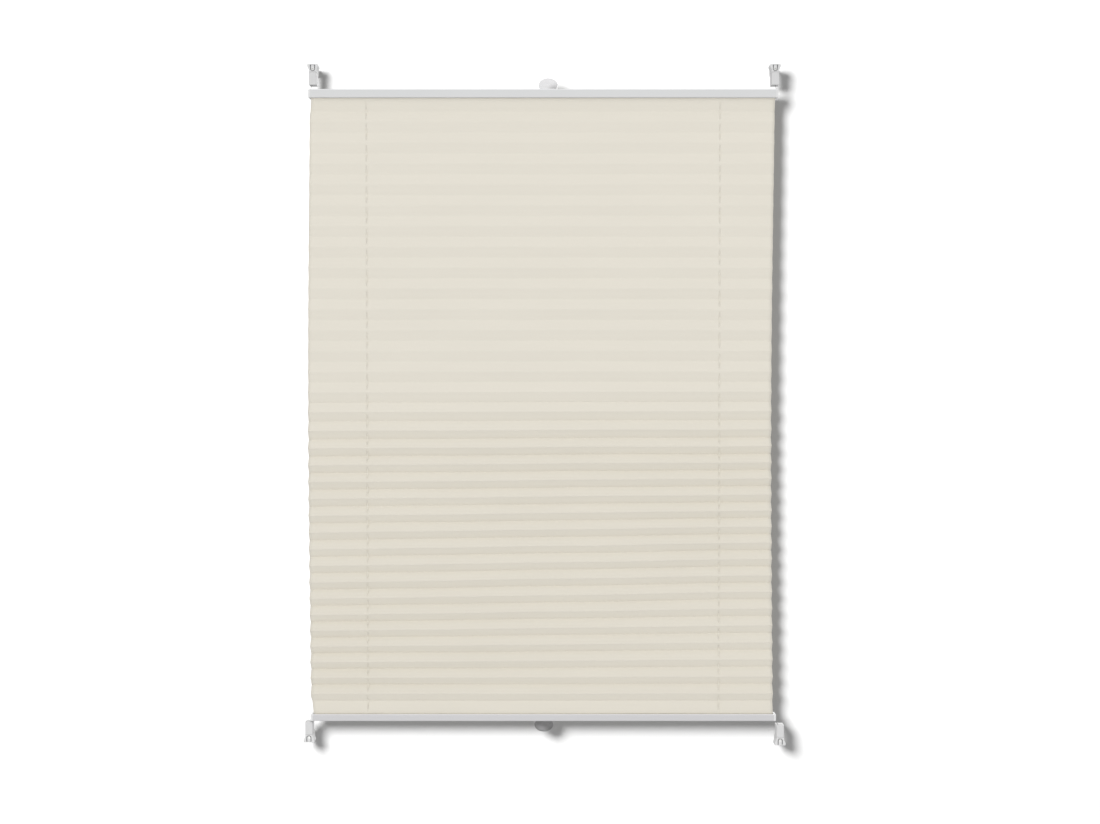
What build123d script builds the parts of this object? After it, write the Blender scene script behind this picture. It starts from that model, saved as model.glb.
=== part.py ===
from build123d import *
import os
from math import cos, pi, radians, sin, sqrt

# A tensioned pleated blind: two aluminium rails carried on two crossing cords, a pleated cloth
# between them, and four clamps that grip a window sash. Millimetres. X runs along the rails,
# -Y faces the room, +Y faces the window and +Z is up.

# Rails
rail_length = 900.0  # over both end caps
rail_depth = 22.0  # front to back
top_rail_height = 16.5
bottom_rail_height = 13.0
rail_corner = 1.5
rail_wall = 1.1
channel_height = 2.6  # the channel that holds the cloth's end strip
channel_mouth = 14.0  # the gap between the two lips that the cloth leaves by
groove_width = 9.0  # the T groove that a grip slides in
groove_depth = 1.6
groove_mouth = 5.0

# Rail end caps
cap_plate = 4.0
cap_plug = 10.0
cap_chamfer = 0.6
cap_clearance = 0.1
cap_mouth_radius = 1.5
cap_mouth_depth = 1.2
cap_mouth_step = 0.15  # the mouth's inner end over the channel

# Cloth
flat_length = 20.2  # one pleat, crease to crease
flat_count = 67
cloth_thickness = 0.35
cloth_end_clearance = 1.0  # to each end cap
top_fold = 8.0  # degrees from the vertical under the top rail
bottom_fold = 38.0  # degrees from the vertical over the bottom rail
fold_change_start = 24  # the flats over which the pleats draw together
fold_change_end = 35
end_crease = 6.0  # how far from the middle the cloth turns inside a rail
flap_reach = 8.0  # how far the end flap runs past the middle, under the strip
hole_inset = 110.0  # cord holes, from each rail end
slot_width = 2.0
slot_height = 10.0
strip_width = 17.0
strip_thickness = 1.5
strip_gap = 0.1
strip_hole = 3.0

# Cords, guides and springs
cord_diameter = 0.8
cord_clearance = 0.3  # around a cord in its channel
cord_inset = 2.0  # the vertical stretch at each end, from the rail's end
cord_offset = 3.2  # each cord runs this far before or behind the rail's middle
cord_shift_inset = 25.0  # from the rail's end to where it reaches that offset
guide_shift = 20.0  # from a cord hole to where the cord leaves that offset
guide_bend = 3.0
cap_bend = 3.0
mouth_bend = 4.0
gentle_bend = 90.0
guide_barrel = 4.0
guide_fit = 0.1
guide_length = 11.0
guide_front = 2.2
guide_cover = 0.7  # of plastic over the cord's channel
knot_radius = 1.4
spring_wire = 0.6
spring_outer = 5.0
spring_turns = 14
spring_pitch = 2.6
spring_inset = 175.0  # the spring's middle, from the end that its cord doesn't enter by
plug_length = 5.0
plug_flange = 1.2
plug_fit = 0.1
plug_knot_radius = 1.0

# Grips
grip_width = 36.5
grip_height = 22.0
grip_swell = 8.5  # how high the grip is at its widest
grip_thickness = 9.0
grip_bevel = 1.7
grip_soften = 0.6  # rounds the bevel into the faces
grip_lift = 0.3
foot_length = 18.0
foot_clearance = 0.15
neck_clearance = 0.2
grip_places = {"top": 9.4, "bottom": 1.1}  # along each rail from its middle, as drawn

# Clamps: local z runs from the shoe's mouth, away from the rail
shoe_width = 14.6
shoe_height = 24.0
shoe_front = 7.0
shoe_corner = 1.8
shoe_chamfer = 0.6
funnel_width = 12.0
funnel_depth = 7.0
funnel_height = 5.0
cord_bore_radius = 0.7
knot_shoulder = 14.0
knot_bore_radius = 1.8
sash_gap = 2.0  # from the rail's back to the sash
plate_thickness = 3.0
tee_neck = 5.0
tee_head = 9.0
tee_thickness = 2.0
tee_reach = 2.6
tee_fit = 0.2
head_width = 21.0
head_height = 15.4
head_gap = 0.2
head_lip = 4.4  # the straight part of the head's sides, at its far end
head_neck = 3.6  # the straight part at its near end, as wide as the shoe
head_round = 1.6
head_chamfer = 0.7
recess_width = 10.0
recess_depth = 5.0
recess_rim = 1.5
lug_width = 6.2
lug_setback = 1.0
screw_height = 6.3  # the clamp screw's axis, from the head's near end
screw_radius = 2.0
screw_fit = 0.1
screw_head_radius = 2.6
screw_head_height = 2.2
screw_socket = 2.5
thread_fit = 0.05
hook_width = 11.6
hook_thickness = 1.2
hook_drop = 14.0
hook_top = 2.0  # from the head's far end down to the hook
hook_clearance = 0.3
hook_tab_setback = 3.5
hook_tab_margin = 1.8  # of tab beyond the screw's hole
cavity_wall = 1.0  # between the hook's slot in the head and the sash
cut_past = 1.0  # how far a cut runs past the face it opens
sash_thickness = 18.0  # what the jaws hold as drawn

# Each clamp hangs where its cord lets it: (side, up or down, outboard of the rail's end, gap to the rail)
clamp_places = {
    "upper_left": (-1, 1, -8.0, 9.0),
    "upper_right": (1, 1, -5.0, 9.0),
    "lower_left": (-1, -1, 4.0, 3.0),
    "lower_right": (1, -1, 9.0, 9.0),
}

profile_length = rail_length - 2 * cap_plate
inner_depth = rail_depth - 2 * rail_wall
chamber_floor = 2 * rail_wall + channel_height
hole_x = rail_length / 2 - hole_inset
cord_x = rail_length / 2 - cord_inset
cord_radius = cord_diameter / 2
channel_radius = cord_radius + cord_clearance
sash_y = rail_depth / 2 + sash_gap


def groove_wall(height):
    """The underside of the wall that closes the grip's groove, over a rail's cloth-side face."""
    return height - 2 * rail_wall - groove_depth


def cord_level(height):
    """The level that the cords run at in a rail, over its cloth-side face."""
    return (chamber_floor + groove_wall(height)) / 2


def band(width, low, high):
    """A rectangle of a rail's section, centred front to back, between two levels."""
    return Pos(0, (low + high) / 2) * Rectangle(width, high - low)


def chamber(height, clearance=0.0):
    """The cord chamber's outline, drawn in by a clearance."""
    outline = band(inner_depth - 2 * clearance, chamber_floor + clearance, height - rail_wall - clearance)
    block = groove_width + 2 * rail_wall + 2 * clearance
    return outline - band(block, groove_wall(height) - clearance, height)


def rail_outline(height):
    return Pos(0, height / 2) * RectangleRounded(rail_depth, height, rail_corner)


def along_x(section, start, length):
    """A section, drawn front-to-back and up, as a bar along X."""
    return Pos(start, 0, 0) * extrude(Plane.YZ * section, length)


def rail(height):
    """A rail on its own cloth-side face: lips, cloth channel, cord chamber and grip groove."""
    section = rail_outline(height) - chamber(height)
    section -= band(inner_depth, rail_wall, rail_wall + channel_height)
    section -= band(channel_mouth, -rail_wall, rail_wall)
    section -= band(groove_width, height - rail_wall - groove_depth, height - rail_wall)
    section -= band(groove_mouth, height - rail_wall, height + rail_wall)
    body = along_x(section, -profile_length / 2, profile_length)
    web_level = rail_wall + channel_height
    for x in (-hole_x, hole_x):
        body -= Pos(x, 0, web_level + rail_wall / 2) * Cylinder(guide_barrel / 2 + guide_fit, 2 * rail_wall)
    return body


def strip():
    """The stiff strip that holds the cloth's end flap down on the rail's lips."""
    level = rail_wall + cloth_thickness + 2 * strip_gap
    length = profile_length - 2 * cloth_end_clearance
    body = Pos(0, 0, level + strip_thickness / 2) * Box(length, strip_width, strip_thickness)
    for x in (-hole_x, hole_x):
        body -= Pos(x, 0, level) * Cylinder(strip_hole / 2, 3 * strip_thickness)
    return body


def end_cap(height, side):
    """An end cap before its cord channel is cut, with its mouth in the outward face."""
    inner = rail_length / 2 - cap_plate
    cap = along_x(rail_outline(height), inner, cap_plate)
    cap = chamfer(cap.faces().sort_by(Axis.X)[-1].edges(), cap_chamfer)
    cap += along_x(chamber(height, cap_clearance), inner - cap_plug, cap_plug)
    mouth = Pos(cord_x, 0, height - cap_mouth_depth / 2) * Cone(
        channel_radius + cap_mouth_step, cap_mouth_radius, cap_mouth_depth
    )
    cap -= mouth
    return cap if side > 0 else mirror(cap, Plane.YZ)


def guide(height, side):
    """A cord guide before its channel is cut: a block on the chamber's floor, a barrel in the web."""
    top = cord_level(height) + channel_radius + guide_cover
    tall = top - chamber_floor
    block = Pos(hole_x - guide_length / 2 + guide_barrel, 0, chamber_floor + tall / 2) * Box(
        guide_length, 2 * guide_front, tall
    )
    barrel = Pos(hole_x, 0, chamber_floor - rail_wall / 2) * Cylinder(guide_barrel / 2, rail_wall)
    piece = block + barrel
    return piece if side > 0 else mirror(piece, Plane.YZ)


def grip(height):
    """A grip standing on a rail's outer face, with its foot in the groove."""
    oval = Pos(0, grip_swell) * Ellipse(grip_width / 2, grip_height - grip_swell)
    oval &= Pos(0, grip_lift + grip_height / 2) * Rectangle(grip_width, grip_height)
    plate = extrude(Plane.XZ * oval, grip_thickness / 2, both=True)
    rims = plate.faces().sort_by(Axis.Y)
    plate = chamfer(rims[0].edges() + rims[-1].edges(), grip_bevel)
    faces = plate.faces().sort_by(Axis.Y)
    plate = fillet(faces[0].edges() + faces[-1].edges(), grip_soften)
    foot_top = -rail_wall - foot_clearance
    foot_low = -rail_wall - groove_depth + foot_clearance
    neck = Pos(0, 0, (foot_low + grip_lift + grip_bevel) / 2) * Box(
        foot_length, groove_mouth - 2 * neck_clearance, grip_lift + grip_bevel - foot_low
    )
    foot = Pos(0, 0, (foot_top + foot_low) / 2) * Box(
        foot_length, groove_width - 2 * neck_clearance, foot_top - foot_low
    )
    return Pos(0, 0, height) * (plate + neck + foot)


def fold_angle(index):
    """How far a pleat leans from the vertical, in radians: steeper towards the bottom rail."""
    share = (index - fold_change_start) / (fold_change_end - fold_change_start)
    share = min(max(share, 0.0), 1.0)
    ease = share * share * (3 - 2 * share)
    return radians(top_fold + (bottom_fold - top_fold) * ease)


def crease_points():
    """The cloth's creases as (y, z), down from the first one in the top rail's channel at z 0."""
    reach = [flat_length / 2 * sin(fold_angle(n)) for n in range(flat_count + 1)]
    reach[0] = reach[-1] = end_crease
    points = [(-reach[0], 0.0)]
    for n in range(flat_count):
        drop = sqrt(flat_length**2 - (reach[n] + reach[n + 1]) ** 2)
        points.append(((-1) ** n * reach[n + 1], points[-1][1] - drop))
    return points


def offset_line(points, distance):
    """A line of points moved sideways by a distance, mitred at its corners."""
    moved = []
    for n, (y, z) in enumerate(points):
        before = Vector(y, z) - Vector(*points[n - 1]) if n else None
        after = Vector(*points[n + 1]) - Vector(y, z) if n + 1 < len(points) else None
        directions = [d.normalized() for d in (before, after) if d is not None]
        normals = [Vector(-d.Y, d.X) for d in directions]
        mean = sum(normals[1:], normals[0]).normalized()
        moved.append(Vector(y, z) + mean * (distance / mean.dot(normals[0])))
    return moved


# The cloth's drop between the rails follows from its pleats
flap_level = rail_wall + strip_gap + cloth_thickness / 2
creases = crease_points()
rail_gap = -creases[-1][1] - 2 * flap_level
top_z = rail_gap / 2
bottom_z = -rail_gap / 2
creases = [(y, z + top_z + flap_level) for y, z in creases]


def pleated_cloth():
    """The whole cloth: end flaps in the rails, pleats between, and a cord slot in each flat."""
    line = [(flap_reach, creases[0][1]), *creases, (-flap_reach, creases[-1][1])]
    half = cloth_thickness / 2
    outline = offset_line(line, half) + offset_line(line, -half)[::-1]
    section = make_face(Polyline(*[(p.X, p.Y) for p in outline], close=True))
    length = profile_length - 2 * cloth_end_clearance
    cloth = along_x(section, -length / 2, length)
    levels = []
    for (y, z), (next_y, next_z) in zip(creases, creases[1:]):
        levels.append(z + (next_z - z) * y / (y - next_y))
    slot = extrude(Plane.XZ * SlotOverall(slot_height, slot_width, rotation=90), rail_depth / 2, both=True)
    cuts = [Pos(x, 0, z) * slot for x in (-hole_x, hole_x) for z in levels]
    flap_hole = Cylinder(strip_hole / 2, 4 * cloth_thickness)
    cuts += [Pos(x, 0, z) * flap_hole for x in (-hole_x, hole_x) for z in (creases[0][1], creases[-1][1])]
    return cloth - cuts


def clamp_position(name):
    """Where a clamp's shoe has its mouth, as (x, z), and whether it stands up or down."""
    side, way, outboard, gap = clamp_places[name]
    height = top_rail_height if way > 0 else bottom_rail_height
    face = (top_z if way > 0 else -bottom_z) + height + gap
    return side * (rail_length / 2 + outboard), way * face, way


def cord_route(side):
    """The corners and bend radii of one cord's two lengths, from its upper clamp to its lower one.

    It enters the top rail at its own end, crosses to the far holes, drops through the cloth, and
    crosses back in the bottom rail, so that both rails stay level. A spring joins the two lengths.
    """
    lane = side * cord_offset
    name = "right" if side > 0 else "left"
    upper_x, upper_z, _ = clamp_position(f"upper_{name}")
    lower_x, lower_z, _ = clamp_position(f"lower_{name}")
    high = top_z + cord_level(top_rail_height)
    low = bottom_z - cord_level(bottom_rail_height)
    end, near = side * cord_x, side * (rail_length / 2 - cord_shift_inset)
    hole, turn = -side * hole_x, -side * (hole_x - guide_shift)
    spring_x = -side * (rail_length / 2 - spring_inset)
    knot = spring_turns * spring_pitch / 2 - plug_length + plug_flange
    upper = [
        (upper_x, 0, upper_z + knot_shoulder + knot_radius),
        (upper_x, 0, upper_z + funnel_height),
        (end, 0, top_z + top_rail_height - cap_mouth_depth),
        (end, 0, high),
        (near, lane, high),
        (spring_x + side * knot, lane, high),
    ]
    lower = [
        (spring_x - side * knot, lane, high),
        (turn, lane, high),
        (hole, 0, high),
        (hole, 0, low),
        (turn, lane, low),
        (near, lane, low),
        (end, 0, low),
        (end, 0, bottom_z - bottom_rail_height + cap_mouth_depth),
        (lower_x, 0, lower_z - funnel_height),
        (lower_x, 0, lower_z - knot_shoulder - knot_radius),
    ]
    upper_bends = [mouth_bend, mouth_bend, cap_bend, gentle_bend]
    lower_bends = [gentle_bend, guide_bend, guide_bend, gentle_bend]
    lower_bends += [gentle_bend, cap_bend, mouth_bend, mouth_bend]
    return (upper, upper_bends), (lower, lower_bends)


def tube(points, bends, radius):
    """A round tube along straight runs joined by tangent arcs."""
    path = FilletPolyline(*points, radius=bends)
    profile = Plane(origin=path @ 0, z_dir=path % 0) * Circle(radius)
    return sweep(profile, path=path)


def cord(points, bends, knots):
    """One length of cord with the knots that hold its ends."""
    body = tube(points, bends, cord_radius)
    length = FilletPolyline(*points, radius=bends).length
    share = body.volume / (pi * cord_radius**2 * length)
    print(f"cord {length:.1f} long, bend radii {bends}, volume over section times length {share:.4f}")
    # The spheres' poles and seams are turned away from the cord, which runs along X or Z here
    turn = Rot(0, 45, 0) * Rot(90, 0, 0)
    ends = zip((points[0], points[-1]), knots)
    return body + [Pos(*point) * turn * Sphere(knot) for point, knot in ends]


def cap_channel(height, level, face, side):
    """The way through an end cap: in at its mouth, round a bend and into the cord's lane."""
    outside = face + (1 if face > 0 else -1) * height
    end, near = side * cord_x, side * (rail_length / 2 - cord_shift_inset)
    points = [(end, 0, outside), (end, 0, level), (near, side * cord_offset, level)]
    return tube(points, [cap_bend], channel_radius)


def guide_channel(level, side):
    """The way through a guide, from the lane of the cord that enters at this side to the far holes."""
    turn = hole_x - guide_shift
    points = [(-side * turn, side * cord_offset, level), (-side * hole_x, 0, level), (-side * hole_x, 0, 0)]
    return tube(points, [guide_bend], channel_radius)


def spring(side):
    """A cord spring and its two end plugs, lying in its cord's lane in the top rail."""
    length = spring_turns * spring_pitch
    mean_radius = (spring_outer - spring_wire) / 2
    helix = Helix(spring_pitch, length, mean_radius)
    section = Plane(origin=helix @ 0, z_dir=helix % 0) * Circle(spring_wire / 2)
    wire = sweep(section, path=helix, is_frenet=True)
    shaft_radius = mean_radius - spring_wire / 2 - plug_fit
    plug = Pos(0, 0, plug_flange / 2) * Cylinder(spring_outer / 2, plug_flange)
    plug += Pos(0, 0, (plug_flange - plug_length) / 2) * Cylinder(shaft_radius, plug_length + plug_flange)
    plug -= Cylinder(cord_bore_radius, 4 * plug_length)
    plug -= Pos(0, 0, -plug_length) * Cylinder(plug_knot_radius + cord_clearance, plug_length)
    lift = spring_wire / 2 + plug_fit
    plugs = [Pos(0, 0, length + lift) * plug, Pos(0, 0, -lift) * (Rot(180, 0, 0) * plug)]
    middle = -side * (rail_length / 2 - spring_inset)
    level = top_z + cord_level(top_rail_height)
    place = Pos(middle - length / 2, side * cord_offset, level) * Rot(0, 90, 0)
    return place * wire, [place * piece for piece in plugs]


def shoe():
    """A tension shoe, mouth down at z 0: funnel, cord bore, knot pocket and a T slot at the back."""
    back = sash_y - plate_thickness - tee_fit
    depth = shoe_front + back
    body = Pos(0, (back - shoe_front) / 2, shoe_height / 2) * Box(shoe_width, depth, shoe_height)
    front_edges = body.edges().filter_by(Axis.Z).sort_by(Axis.Y)[:2]
    body = fillet(front_edges, shoe_corner)
    rim = body.faces().sort_by(Axis.Z)[-1].edges()
    body = chamfer(rim, shoe_chamfer)
    mouth = Plane.XY * Rectangle(funnel_width, funnel_depth)
    throat = Plane.XY.offset(funnel_height) * Rectangle(2 * cord_bore_radius, 2 * cord_bore_radius)
    body -= loft([mouth.face(), throat.face()])
    body -= Cylinder(cord_bore_radius, 2 * shoe_height)
    body -= Pos(0, 0, (knot_shoulder + shoe_height) / 2) * Cylinder(
        knot_bore_radius, shoe_height - knot_shoulder
    )
    slot_low = tee_fit
    tall = shoe_height - slot_low
    middle = slot_low + tall / 2
    neck_y = back - tee_reach / 2
    head_y = sash_y - plate_thickness - tee_reach - tee_thickness / 2
    body -= Pos(0, neck_y, middle + tee_reach) * Box(tee_neck + 2 * tee_fit, tee_reach + tee_fit, tall)
    body -= Pos(0, head_y, middle + tee_reach) * Box(
        tee_head + 2 * tee_fit, tee_thickness + 2 * tee_fit, tall
    )
    return body


def clamp_front():
    """A clamp's plastic front: the plate behind its shoe, the T rail, and the flared screw head."""
    plate = Pos(0, sash_y - plate_thickness / 2, shoe_height / 2) * Box(
        shoe_width, plate_thickness, shoe_height + 2 * head_gap
    )
    face = sash_y - plate_thickness
    low, high = tee_reach + 2 * tee_fit, shoe_height
    neck = Pos(0, face - tee_reach / 2, (low + high) / 2) * Box(tee_neck, tee_reach, high - low)
    tee = Pos(0, face - tee_reach - tee_thickness / 2, (low + high) / 2) * Box(
        tee_head, tee_thickness, high - low
    )
    base = shoe_height + head_gap
    top = base + head_height
    half, wide = shoe_width / 2, head_width / 2
    flare = base + head_neck
    outline = Polyline(
        (-half, base), (-half, flare), (-wide, top - head_lip), (-wide, top),
        (wide, top), (wide, top - head_lip), (half, flare), (half, base), close=True,
    )
    profile = make_face(outline)
    profile = fillet(profile.vertices().sort_by(Axis.Y)[2:], head_round)
    head = extrude(Plane.XZ * profile, shoe_front) + extrude(Plane.XZ * profile, -sash_y)
    head = chamfer(head.faces().sort_by(Axis.Y)[0].edges(), head_chamfer)
    axis_z = base + screw_height
    arch_radius = recess_width / 2
    arch_z = base + recess_rim + arch_radius
    opening = Pos(0, arch_z) * Circle(arch_radius)
    opening += Pos(0, (arch_z + top - recess_rim) / 2) * Rectangle(recess_width, top - recess_rim - arch_z)
    lug = Pos(0, axis_z) * Circle(lug_width / 2)
    lug += Pos(0, (axis_z + top) / 2) * Rectangle(lug_width, top - axis_z)
    floor = -shoe_front + recess_depth
    recess = Pos(0, floor, 0) * extrude(Plane.XZ * opening, 2 * recess_depth)
    recess -= Pos(0, floor, 0) * extrude(Plane.XZ * lug, recess_depth - lug_setback)
    head -= recess
    tab_width = hook_width + 2 * hook_clearance
    cavity_back = sash_y - cavity_wall
    cavity_low = axis_z - screw_radius - hook_tab_margin - 2 * hook_clearance
    cut_top = top + cut_past
    head -= Pos(0, cavity_back / 2, (cavity_low + cut_top) / 2) * Box(
        tab_width, cavity_back, cut_top - cavity_low
    )
    notch_low = top - hook_top - hook_thickness - hook_clearance
    head -= Pos(0, sash_y, (notch_low + cut_top) / 2) * Box(
        tab_width, 4 * cavity_wall, cut_top - notch_low
    )
    lug_face = -shoe_front + lug_setback
    head -= Pos(0, 0, axis_z) * Rot(90, 0, 0) * Cylinder(screw_radius + screw_fit, 3 * shoe_front)
    seat_depth = screw_head_height + 2 * screw_fit
    head -= Pos(0, lug_face + seat_depth / 2, axis_z) * Rot(90, 0, 0) * Cylinder(
        screw_head_radius + screw_fit, seat_depth
    )
    return plate + neck + tee + head


def clamp_hook():
    """The bent metal hook: a threaded tab in the head, a run over the sash and a lip behind it."""
    top = shoe_height + head_gap + head_height - hook_top
    low = top - hook_thickness
    tab_front = hook_tab_setback
    lip_front = sash_y + sash_thickness
    lip_back = lip_front + hook_thickness
    axis_z = shoe_height + head_gap + screw_height
    tab_low = axis_z - screw_radius - hook_tab_margin
    bar = Pos(0, (tab_front + lip_back) / 2, (low + top) / 2) * Box(
        hook_width, lip_back - tab_front, hook_thickness
    )
    tab = Pos(0, tab_front + hook_thickness / 2, (tab_low + top) / 2) * Box(
        hook_width, hook_thickness, top - tab_low
    )
    lip = Pos(0, lip_front + hook_thickness / 2, top - hook_drop / 2) * Box(
        hook_width, hook_thickness, hook_drop
    )
    hook = bar + tab + lip
    outer = hook.edges().filter_by(Axis.X).sort_by(Axis.Z)[-2:]
    hook = fillet(outer, hook_thickness)
    return hook - Pos(0, tab_front, axis_z) * Rot(90, 0, 0) * Cylinder(
        screw_radius + thread_fit, 6 * hook_thickness
    )


def clamp_screw():
    """The clamp screw: a socket head in the lug, and a shank that the hook's tab travels along."""
    axis_z = shoe_height + head_gap + screw_height
    lug_face = -shoe_front + lug_setback
    head_back = lug_face + screw_head_height + screw_fit
    shank_end = sash_y - cavity_wall - hook_clearance
    head = Pos(0, head_back - screw_head_height / 2, axis_z) * Rot(90, 0, 0) * Cylinder(
        screw_head_radius, screw_head_height
    )
    shank = Pos(0, (head_back + shank_end) / 2, axis_z) * Rot(90, 0, 0) * Cylinder(
        screw_radius, shank_end - head_back
    )
    socket = extrude(Plane.XZ * RegularPolygon(screw_socket / 2, 6, major_radius=False), screw_socket / 2)
    return head + shank - Pos(0, lug_face + screw_fit + screw_socket / 2, axis_z) * socket


def place_clamp_piece(piece, name):
    """A clamp piece turned to stand over or hang under its rail."""
    x, z, way = clamp_position(name)
    turned = piece if way > 0 else Rot(0, 180, 0) * piece
    return Pos(x, 0, z) * turned


def top_place(piece):
    return Pos(0, 0, top_z) * piece


def bottom_place(piece):
    return Pos(0, 0, bottom_z) * (Rot(0, 180, 0) * piece)


def build():
    """Every piece of the blind by its node's name."""
    pieces = {"pleated_cloth": pleated_cloth()}
    for name, side in (("left", -1), ("right", 1)):
        (upper, upper_bends), (lower, lower_bends) = cord_route(side)
        pieces[f"{name}_cord_upper"] = cord(upper, upper_bends, (knot_radius, plug_knot_radius))
        pieces[f"{name}_cord_lower"] = cord(lower, lower_bends, (plug_knot_radius, knot_radius))
        wire, plugs = spring(side)
        pieces[f"{name}_spring"] = wire
        pieces[f"{name}_spring_plugs"] = Compound(children=plugs)
    for rail_name, height, base, place, way in (
        ("top", top_rail_height, top_z, top_place, 1),
        ("bottom", bottom_rail_height, bottom_z, bottom_place, -1),
    ):
        level, face = base + way * cord_level(height), base + way * height
        pieces[f"{rail_name}_rail"] = place(rail(height))
        pieces[f"{rail_name}_strip"] = place(strip())
        pieces[f"{rail_name}_grip"] = Pos(grip_places[rail_name], 0, 0) * place(grip(height))
        for end_name, side in (("left", -1), ("right", 1)):
            cap = place(end_cap(height, side * way))
            pieces[f"{rail_name}_{end_name}_cap"] = cap - cap_channel(height, level, face, side)
            block = place(guide(height, side * way))
            pieces[f"{rail_name}_{end_name}_guide"] = block - guide_channel(level, -side)
    for name in clamp_places:
        for kind, piece in (
            ("clamp", clamp_front()),
            ("hook", clamp_hook()),
            ("screw", clamp_screw()),
            ("shoe", shoe()),
        ):
            pieces[f"{name}_{kind}"] = place_clamp_piece(piece, name)
    return pieces


def main():
    """Move the blind so that the middle of its whole box is the origin, and write each piece."""
    pieces = build()
    middle = Compound(children=[p.moved(Location()) for p in pieces.values()]).bounding_box().center()
    os.makedirs("parts", exist_ok=True)
    for name, piece in pieces.items():
        export_step(Pos(-middle.X, -middle.Y, -middle.Z) * piece, f"parts/{name}.step")
    print("gap between rails", round(rail_gap, 2), "box middle", middle)


main()
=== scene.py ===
"""A tensioned pleated blind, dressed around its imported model.

Two white aluminium rails ride on two crossing cords between four clamps, and a cream pleated
cloth spans the rails. X runs along the rails, -Y faces the room and +Z is up. Sizes are
millimetres inside the classes and metres in the scene.
"""

import logging
import math
import random
from collections.abc import Callable, Sequence
from dataclasses import dataclass, field
from enum import Enum

import bpy
import numpy as np
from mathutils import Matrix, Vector


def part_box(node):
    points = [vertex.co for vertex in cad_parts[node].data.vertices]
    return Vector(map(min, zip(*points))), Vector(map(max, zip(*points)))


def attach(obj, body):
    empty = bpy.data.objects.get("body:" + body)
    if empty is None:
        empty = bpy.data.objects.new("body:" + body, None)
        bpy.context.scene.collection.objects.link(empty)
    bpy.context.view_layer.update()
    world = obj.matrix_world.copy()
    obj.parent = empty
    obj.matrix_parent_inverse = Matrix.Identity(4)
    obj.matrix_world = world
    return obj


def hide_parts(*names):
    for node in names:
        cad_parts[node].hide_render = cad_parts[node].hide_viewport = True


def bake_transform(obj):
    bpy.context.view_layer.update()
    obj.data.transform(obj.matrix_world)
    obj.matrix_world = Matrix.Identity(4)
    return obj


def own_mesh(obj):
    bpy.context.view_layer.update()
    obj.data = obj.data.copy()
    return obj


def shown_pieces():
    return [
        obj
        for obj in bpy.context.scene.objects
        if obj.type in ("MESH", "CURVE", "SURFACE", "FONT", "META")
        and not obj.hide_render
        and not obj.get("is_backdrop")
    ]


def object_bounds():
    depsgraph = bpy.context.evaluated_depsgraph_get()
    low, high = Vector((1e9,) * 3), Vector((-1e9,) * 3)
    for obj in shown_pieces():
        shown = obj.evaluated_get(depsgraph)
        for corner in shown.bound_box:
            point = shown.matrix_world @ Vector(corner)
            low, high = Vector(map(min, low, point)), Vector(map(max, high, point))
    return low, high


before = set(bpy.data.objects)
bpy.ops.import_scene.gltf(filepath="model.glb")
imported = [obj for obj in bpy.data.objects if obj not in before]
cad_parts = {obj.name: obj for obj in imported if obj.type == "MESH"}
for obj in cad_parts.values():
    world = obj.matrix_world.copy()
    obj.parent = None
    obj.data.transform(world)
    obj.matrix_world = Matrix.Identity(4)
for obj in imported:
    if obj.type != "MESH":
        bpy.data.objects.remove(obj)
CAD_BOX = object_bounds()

MM = 0.001
TURN = 2 * math.pi
SIDES = (-1, 1)
RAIL_TRAVEL = 565.0
HALF_ROUND = ((-1.0, 0.0), (-0.71, 0.71), (0.0, 1.0), (0.71, 0.71), (1.0, 0.0))
LOG = logging.getLogger("blind")

Point = tuple[float, float, float]
Colour = tuple[float, float, float]
Wave = tuple[float, float, float]


# ---------------------------------------------------------------- shader building


class Value:
    """One output in a material, which Python's operators work on as numbers."""

    def __init__(self, shader: "Shader", socket: bpy.types.NodeSocket) -> None:
        """Wrap a socket of a shader's node tree."""
        self.shader = shader
        self.socket = socket

    def _math(self, operation: str, *values: "Value | float") -> "Value":
        """Add a Math node on these values."""
        return self.shader.node("Math", {"operation": operation}, dict(enumerate(values)))

    def __add__(self, other: "Value | float") -> "Value":
        """Self plus other."""
        return self._math("ADD", self, other)

    __radd__ = __add__

    def __sub__(self, other: "Value | float") -> "Value":
        """Self minus other."""
        return self._math("SUBTRACT", self, other)

    def __rsub__(self, other: "Value | float") -> "Value":
        """Other minus self."""
        return self._math("SUBTRACT", other, self)

    def __mul__(self, other: "Value | float") -> "Value":
        """Self times other."""
        return self._math("MULTIPLY", self, other)

    __rmul__ = __mul__

    def wave(self) -> "Value":
        """The sine of the value, from -1 to 1."""
        return self._math("SINE", self)

    def lifted(self) -> "Value":
        """A value from -1 to 1, brought to between 0 and 1."""
        return self * 0.5 + 0.5

    def at_least(self, floor: float) -> "Value":
        """The value, or a floor under it."""
        return self._math("MAXIMUM", self, floor)

    def raised(self, power: float) -> "Value":
        """The value's size to a power."""
        return self._math("POWER", self._math("ABSOLUTE", self), power)


@dataclass(frozen=True)
class Grain:
    """One noise: its cells per metre, how much finer it is along each axis, and its layers."""

    scale: float
    stretch: Point = (1, 1, 1)
    layers: float = 2.0


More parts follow.
